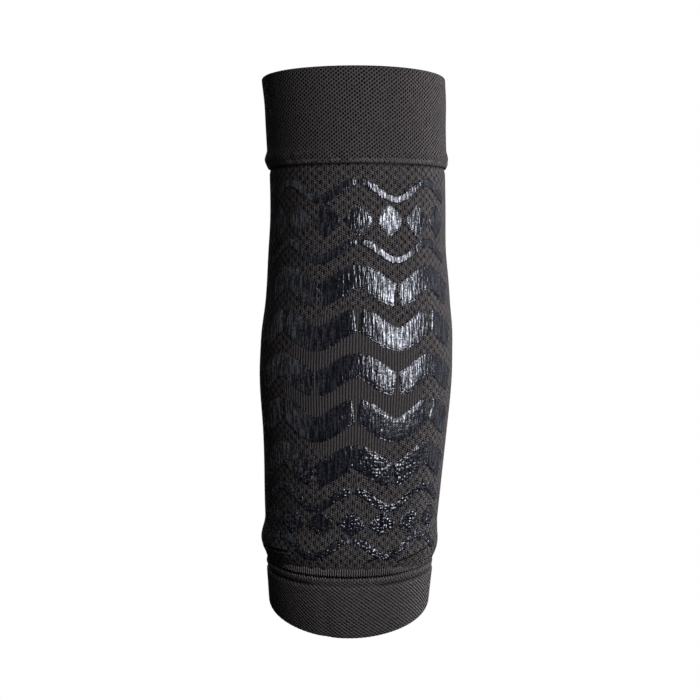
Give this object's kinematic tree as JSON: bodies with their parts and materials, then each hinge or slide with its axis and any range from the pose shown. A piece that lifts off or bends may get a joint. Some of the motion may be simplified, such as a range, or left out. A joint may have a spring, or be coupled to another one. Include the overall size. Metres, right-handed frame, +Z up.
{
  "type": "elbow support",
  "caption": "Black knitted compression sleeve for the elbow, worn form, with a deep folded upper cuff, a turned-up lower cuff and a raised silicone wave grip over the elbow's point.",
  "frame": {"origin": "on the middle line of the arm at the height of the elbow's point, inside the sleeve", "axes": "+Z up the upper arm, -Y towards the elbow's point with the printed grip, +X to the right as seen from that side"},
  "size_m": [0.0924, 0.0993, 0.2681],
  "materials": {
    "sleeve_knit": "matt black pique tuck knit with finer ribs over the elbow",
    "cuff_knit": "matt black elastic mesh knit",
    "silicone": "raised glossy blue-black silicone print"
  },
  "bodies": {
    "root": {"upper_cuff": "cuff_knit", "sleeve_tube": "sleeve_knit", "lower_cuff": "cuff_knit", "grip_line_1_1": "silicone", "grip_line_1_2": "silicone", "grip_line_2_1": "silicone", "grip_line_2_2": "silicone", "grip_line_3_1": "silicone", "grip_line_3_2": "silicone", "grip_line_4_1": "silicone", "grip_line_4_2": "silicone", "grip_wave_1_1": "silicone", "grip_wave_1_2": "silicone", "grip_wave_1_3": "silicone", "grip_wave_2_1": "silicone", "grip_wave_2_2": "silicone", "grip_wave_2_3": "silicone", "grip_wave_2_4": "silicone", "grip_wave_3_1": "silicone", "grip_wave_3_2": "silicone", "grip_wave_3_3": "silicone", "grip_wave_4_1": "silicone", "grip_wave_4_2": "silicone", "grip_wave_4_3": "silicone", "grip_wave_4_4": "silicone", "grip_wave_5_1": "silicone", "grip_wave_5_2": "silicone", "grip_wave_5_3": "silicone", "grip_lozenge_a_1": "silicone", "grip_lozenge_a_2": "silicone", "grip_lozenge_a_3": "silicone", "grip_lozenge_a_4": "silicone", "grip_lozenge_a_5": "silicone", "grip_lozenge_a_6": "silicone", "grip_lozenge_a_7": "silicone", "grip_lozenge_b_1": "silicone", "grip_lozenge_b_2": "silicone", "grip_lozenge_b_3": "silicone", "grip_lozenge_b_4": "silicone", "grip_lozenge_b_5": "silicone", "grip_lozenge_b_6": "silicone", "grip_lozenge_b_7": "silicone"}
  },
  "joints": []
}
